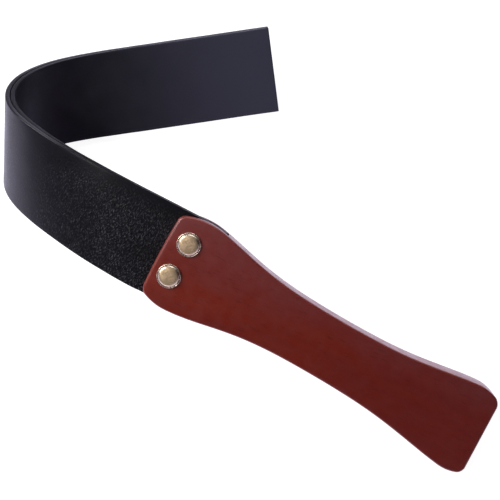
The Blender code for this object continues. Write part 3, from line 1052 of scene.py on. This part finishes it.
@dataclass
class Handle:
    """The waisted wooden board with rounded corners and edges, and the saw kerf for the strap."""

    length: float = 182.4 * MM
    mouth_reach: float = 0.8 * MM
    thickness: float = 12.0 * MM
    waist: float = 15.25 * MM
    shoulder: Swell = field(default_factory=lambda: Swell(9.05 * MM, 9.8 * MM, 36.1 * MM))
    flare: Swell = field(default_factory=lambda: Swell(8.25 * MM, 180.7 * MM, 41.1 * MM))
    end_tuck: float = 3.4 * MM
    end_tuck_reach: float = 13.0 * MM
    low_mouth_tuck: tuple[float, float] = (4.0 * MM, 22.0 * MM)
    high_mouth_tuck: tuple[float, float] = (2.6 * MM, 14.0 * MM)
    mouth_bow: float = 0.55 * MM
    skew: float = 0.0605
    mouth_cut: float = 0.014
    free_cut: float = -0.044
    mouth_corner: float = 2.6 * MM
    free_corner: float = 3.0 * MM
    edge_radius: float = 1.2 * MM
    crown: float = 0.14 * MM
    slot_depth: float = 24.5 * MM
    slot_height: float = 5.5 * MM
    side_steps: int = 118
    end_steps: int = 26
    corner_steps: int = 6
    edge_steps: int = 7
    wander: float = 0.06 * MM

    def _outline_point(self, distance: float, side: float) -> Vector:
        """A point of the outline in (along, across): side is -1 or +1."""
        half_width = self.waist + self.shoulder.at(distance) + self.flare.at(distance)
        half_width -= self.end_tuck * max(0.0, 1 - (self.length - distance) / self.end_tuck_reach) ** 2
        depth, reach = self.low_mouth_tuck if side < 0 else self.high_mouth_tuck
        half_width -= depth * max(0.0, 1 - distance / reach) ** 2
        across = self.skew * distance + side * half_width
        blend = distance / self.length
        cut = self.mouth_cut * (1 - blend) + self.free_cut * blend
        return Vector((self.mouth_reach - distance + cut * across, across))

    def _corner(self, side: float, at_mouth: bool) -> list[Vector]:
        """A rounded corner, from the sawn end round to the side."""
        radius = self.mouth_corner if at_mouth else self.free_corner
        station = 0.0 if at_mouth else self.length
        inward = 1 if at_mouth else -1
        tip = self._outline_point(station, side)
        far = self._outline_point(station, -side)
        on_side = self._outline_point(station + inward * radius, side)
        beyond = self._outline_point(station + inward * radius * 1.05, side)
        to_end = (far - tip).normalized()
        on_end = tip + to_end * radius
        pull_end = on_end - to_end * radius * 0.5523
        pull_side = on_side - (beyond - on_side).normalized() * radius * 0.5523
        corner = []
        for i in range(2 * self.corner_steps + 1):
            t = i / (2 * self.corner_steps)
            corner.append(
                on_end * (1 - t) ** 3 + pull_end * 3 * t * (1 - t) ** 2
                + pull_side * 3 * t * t * (1 - t) + on_side * t ** 3
            )
        return corner

    def _border(self) -> tuple[list[Vector], int, int]:
        """The closed outline and how many steps its long sides and its ends have."""
        half = self.corner_steps
        sides, ends = {}, {}
        for side in (-1, 1):
            mouth, free = self._corner(side, True), self._corner(side, False)
            start, stop = self.mouth_corner, self.length - self.free_corner
            steps = [start + (stop - start) * i / self.side_steps for i in range(1, self.side_steps)]
            run = [self._outline_point(step, side) for step in steps]
            sides[side] = [*mouth[half:], *run, *free[: half - 1 : -1]]
            ends[side] = (mouth[: half + 1], free[: half + 1])
        caps = []
        for which in (0, 1):
            low, high = ends[-1][which], ends[1][which]
            count = self.end_steps
            across = [low[0].lerp(high[0], i / count) for i in range(1, count)]
            caps.append([*low[::-1], *across, *high])
        mouth_end, free_end = caps
        low, high = mouth_end[0].y, mouth_end[-1].y
        for point in mouth_end:
            share = (2 * point.y - low - high) / (high - low)
            point.x += self.mouth_bow * max(0.0, 1 - share * share)
        outline = [*sides[-1][:-1], *free_end[:-1], *sides[1][:0:-1], *mouth_end[:0:-1]]
        return outline, len(sides[-1]) - 1, len(mouth_end) - 1

    def _board(self) -> bmesh.types.BMesh:
        """The board before it is sawn and drilled."""
        outline, long_steps, end_steps = self._border()
        flat = np.array([tuple(point) for point in outline])
        tangent = np.roll(flat, -1, 0) - np.roll(flat, 1, 0)
        outward = np.stack([tangent[:, 1], -tangent[:, 0]], 1)
        outward /= np.linalg.norm(outward, axis=1)[:, None]
        if np.sum(outward * (flat - flat.mean(0))) < 0:
            outward = -outward
        worn = np.array([undulation((x, 0.0, z), 22 * MM) for x, z in flat])
        flat += outward * (self.wander * worn)[:, None]
        wall = self.thickness / 2 - self.edge_radius
        turns = [pi / 2 * i / self.edge_steps for i in range(self.edge_steps + 1)]
        over = [(self.edge_radius * (1 - cos(a)), wall + self.edge_radius * sin(a)) for a in turns]
        rings = [(inset, -height) for inset, height in reversed(over)]
        rings += [(0.0, -wall / 3), (0.0, wall / 3), *over]
        shape = bmesh.new()
        loops = []
        for inset, height in rings:
            spots = flat - outward * inset
            loops.append([shape.verts.new((x, height, z)) for x, z in spots])
        for low, high in zip(loops, loops[1:]):
            for i, corner in enumerate(low):
                j = (i + 1) % len(low)
                shape.faces.new((corner, low[j], high[j], high[i]))
        for loop, sign in ((loops[0], -1), (loops[-1], 1)):
            self._fill_face(shape, loop, long_steps, end_steps, sign)
        return shape

    def _fill_face(self, shape: bmesh.types.BMesh, loop: list, rows: int, columns: int,
                   sign: int) -> None:
        """Fill one face with a slightly crowned grid that meets its border.

        Args:
            shape: the board.
            loop: the face's border vertices in order.
            rows: steps along a long side.
            columns: steps along an end.
            sign: +1 or -1, the side of the board.
        """
        first = loop[: rows + 1]
        free = loop[rows : rows + columns + 1]
        second = loop[rows + columns : 2 * rows + columns + 1][::-1]
        mouth = (loop[2 * rows + columns :] + loop[:1])[::-1]
        corners = [vert.co for vert in (first[0], first[-1], second[0], second[-1])]
        grid = []
        for i in range(rows + 1):
            u = i / rows
            row = []
            for j in range(columns + 1):
                v = j / columns
                edge = (j == 0 and first[i]) or (j == columns and second[i])
                edge = edge or (i == 0 and mouth[j]) or (i == rows and free[j])
                if edge:
                    row.append(edge)
                    continue
                spot = (first[i].co * (1 - v) + second[i].co * v + mouth[j].co * (1 - u)
                        + free[j].co * u - corners[0] * (1 - u) * (1 - v) - corners[1] * u * (1 - v)
                        - corners[2] * (1 - u) * v - corners[3] * u * v)
                swell = min(1.0, 8 * u) * min(1.0, 8 * (1 - u)) * 4 * v * (1 - v)
                spot.y += sign * (self.crown * swell + 0.02 * MM * undulation(spot, 12 * MM) * swell)
                row.append(shape.verts.new(spot))
            grid.append(row)
        for i in range(rows):
            for j in range(columns):
                ring = (grid[i][j], grid[i + 1][j], grid[i + 1][j + 1], grid[i][j + 1])
                shape.faces.new(ring)

    def build(self, holes: Iterable[tuple[float, float]], hole_radius: float) -> bpy.types.Object:
        """Shape the board, saw its kerf and drill it for the rivets.

        Args:
            holes: each rivet hole's distance along and across.
            hole_radius: the drill's radius.

        Returns:
            The handle in the working frame.
        """
        piece = new_piece("wooden_handle", self._board())
        kerf = block_cutter(
            Vector((-self.slot_depth, -self.slot_height / 2, -50 * MM)),
            Vector((20 * MM, self.slot_height / 2, 50 * MM)),
        )
        drills = [round_drill(Vector((along, 0, across)), "Y", hole_radius) for along, across in holes]
        carve(piece, [kerf, *drills])
        places = vertex_places(piece)
        store_points(piece, REST_ATTRIBUTE, places)
        wall = self.thickness / 2 - self.edge_radius
        over = np.clip((self.thickness / 2 - np.abs(places[:, 1])) / self.edge_radius, 0, 1)
        over[np.abs(places[:, 1]) < wall - 0.01 * MM] = 0.35
        store_values(piece, EDGE_ATTRIBUTE, over)
        shade(piece, radians(38))
        return piece


# --------------------------------------------------------------------------------------------
# The studio
# --------------------------------------------------------------------------------------------


@dataclass
class SoftLight:
    """A rectangular soft light aimed at a point."""

    name: str
    position: tuple[float, float, float]
    target: tuple[float, float, float]
    size: tuple[float, float]
    power: float
    colour: Colour = (1.0, 1.0, 1.0)

    def build(self) -> None:
        """Hang the light."""
        lamp = bpy.data.lights.new(self.name, "AREA")
        lamp.shape = "RECTANGLE"
        lamp.size, lamp.size_y = self.size
        lamp.energy = self.power
        lamp.color = self.colour
        holder = bpy.data.objects.new(self.name, lamp)
        holder.location = self.position
        aim = Vector(self.target) - Vector(self.position)
        holder.rotation_euler = aim.to_track_quat("-Z", "Y").to_euler()
        bpy.context.scene.collection.objects.link(holder)


@dataclass
class Studio:
    """A white sweep under soft light from behind and the left."""

    camera_place: tuple[float, float, float] = (0.03404, -0.16222, 0.53277)
    camera_turn: tuple[float, float, float] = (15.031, -2.918, 24.82)
    lens: float = 74.69
    floor_radius: float = 2.5
    lights: tuple[SoftLight, ...] = (
        SoftLight("left_key", (-0.46, -0.08, 0.42), (-0.02, -0.03, 0.03), (0.30, 0.30), 2.9),
        SoftLight("overhead", (-0.2, -0.4, 0.72), (-0.05, -0.03, 0.03), (0.07, 0.07), 1.0),
        SoftLight("back_box", (-0.1, 0.9, 0.6), (0.0, 0.0, 0.02), (0.9, 0.35), 4.0),
    )

    def _camera(self) -> None:
        """Set up the camera."""
        lens = bpy.data.cameras.new("camera")
        lens.lens, lens.sensor_width = self.lens, 36.0
        lens.clip_start, lens.clip_end = 0.01, 20.0
        camera = bpy.data.objects.new("camera", lens)
        camera.location = self.camera_place
        camera.rotation_euler = [radians(angle) for angle in self.camera_turn]
        bpy.context.scene.collection.objects.link(camera)
        bpy.context.scene.camera = camera

    def _floor(self) -> None:
        """Lay the pale floor, a little brighter than its light alone would make it."""
        shape = bmesh.new()
        bmesh.ops.create_circle(shape, cap_ends=True, segments=96, radius=self.floor_radius)
        floor = new_piece("floor", shape)
        material, sheet, shader = new_material("pale_floor")
        cloud = sheet.noise(sheet.add("ShaderNodeNewGeometry").outputs["Position"], 6.0)
        tone = sheet.mix(cloud, (0.40, 0.40, 0.405), (0.42, 0.42, 0.42))
        sheet.feed(shader.inputs["Base Color"], tone)
        seen = sheet.add("ShaderNodeLightPath").outputs["Is Camera Ray"]
        sheet.feed(shader.inputs["Emission Color"], sheet.mix(seen, (0.90, 0.85, 1.12), (0.93, 0.93, 0.93)))
        shader.inputs["Roughness"].default_value = 0.9
        shader.inputs["Specular IOR Level"].default_value = 0.1
        shader.inputs["Emission Strength"].default_value = 1.0
        floor.data.materials.append(material)

    def _world(self) -> None:
        """Dim surroundings, a little brighter low on the right; plain pale behind the object."""
        world = bpy.data.worlds.new("studio")
        bpy.context.scene.world = world
        world.use_nodes = True
        sheet = NodeSheet(world.node_tree)
        background = world.node_tree.nodes["Background"]
        side = sheet.add("ShaderNodeVectorMath", operation="DOT_PRODUCT")
        sheet.feed(side.inputs[0], sheet.add("ShaderNodeTexCoord").outputs["Generated"])
        side.inputs[1].default_value = (0.69, -0.69, 0.20)
        glow = sheet.remap(side.outputs["Value"], 0.86, 0.97)
        room = sheet.mix(glow, (0.014, 0.014, 0.018), (0.35, 0.35, 0.50))
        seen = sheet.add("ShaderNodeLightPath").outputs["Is Camera Ray"]
        sheet.feed(background.inputs["Color"], sheet.mix(seen, room, (1.0, 1.0, 1.0)))

    def build(self) -> None:
        """Set the whole studio."""
        self._camera()
        self._floor()
        self._world()
        for light in self.lights:
            light.build()
        bpy.context.scene.view_settings.view_transform = "Standard"


# --------------------------------------------------------------------------------------------
# The whole strop
# --------------------------------------------------------------------------------------------


@dataclass
class Strop:
    """Handle, strap and rivets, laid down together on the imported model."""

    strap: Strap = field(default_factory=Strap)
    handle: Handle = field(default_factory=Handle)
    placement: Placement = field(default_factory=Placement)
    blend_way: tuple[float, float, float] = (-0.1, 1.0, -0.363)
    blend_start: float = 11.0 * MM
    blend_end: float = 76.0 * MM

    def __post_init__(self) -> None:
        """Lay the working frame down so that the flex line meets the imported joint."""
        joint = next(joint for joint in frame["joints"] if joint["name"] == FLEX_JOINT)
        self.placement.meet(self.strap.flex_point(), Vector(joint["pos_m"]))
        self.rivets = [Rivet(place) for place in RivetPlace]
        self.holes = [rivet.centre for rivet in self.rivets]
        self.effects = SharedEffects()

    def _settle(self, piece: bpy.types.Object, materials: Sequence[bpy.types.Material],
                nodes: Sequence[str]) -> None:
        """Dress a piece, lay it down and let it stand for its CAD nodes.

        Args:
            piece: the piece, in the working frame.
            materials: its finishes, one for each slot of its faces.
            nodes: the CAD nodes that it replaces.
        """
        piece.data.materials.clear()
        for finish in materials:
            piece.data.materials.append(finish)
        piece.data.transform(self.placement.matrix())
        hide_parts(*nodes)
        LOG.info("%s: %d faces, stands for %s", piece.name, len(piece.data.polygons), ", ".join(nodes))

    def build_handle(self) -> None:
        """Make the wooden handle."""
        piece = self.handle.build(self.holes, self.strap.hole_radius)
        self._settle(piece, [LacquerFinish().material(self.effects)], ["handle"])
        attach(piece, HANDLE_BODY)

    def build_strap(self) -> None:
        """Make both plies, folded over from the handle to the tail."""
        finishes = {
            PlySide.OUTER: LeatherFinish(
                "black_pebbled_leather", (0.0022, 0.0021, 0.0028), (0.0055, 0.0052, 0.0070)
            ),
            PlySide.INNER: LeatherFinish(
                "black_smooth_leather", (0.0055, 0.0052, 0.0075), (0.0105, 0.0100, 0.0140),
                roughness=0.36, cells=2300.0, relief=0.00004, crest_glint_share=0.0, bend_polish=0.0,
                tail_sheen=1.0, gloss=0.25,
            ),
        }
        way = Vector(self.blend_way)
        start, end = (
            self.placement.matrix() @ (way * (reach / way.length_squared))
            for reach in (self.blend_start, self.blend_end)
        )
        edge = CutEdgeFinish().material(self.effects)
        for side, finish in finishes.items():
            piece = self.strap.build_ply(side, self.holes)
            ply = side.name.lower()
            nodes = [f"{ply}_ply_front", f"{ply}_ply_tail"]
            self._settle(piece, [finish.material(self.effects), edge], nodes)
            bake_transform(piece)

    def build_rivets(self) -> None:
        """Make both rivets, two halves each."""
        material = BrassFinish().material(self.effects)
        for rivet in self.rivets:
            for half in RivetHalf:
                piece = rivet.build_half(half)
                self._settle(piece, [material], [f"{piece.name}_cap"])
                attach(piece, HANDLE_BODY)


def main() -> None:
    """Build the strop and its studio."""
    logging.basicConfig(level=logging.INFO, format="%(name)s: %(message)s")
    strop = Strop()
    strop.build_handle()
    strop.build_strap()
    strop.build_rivets()
    Studio().build()


if __name__ == "__main__":
    main()
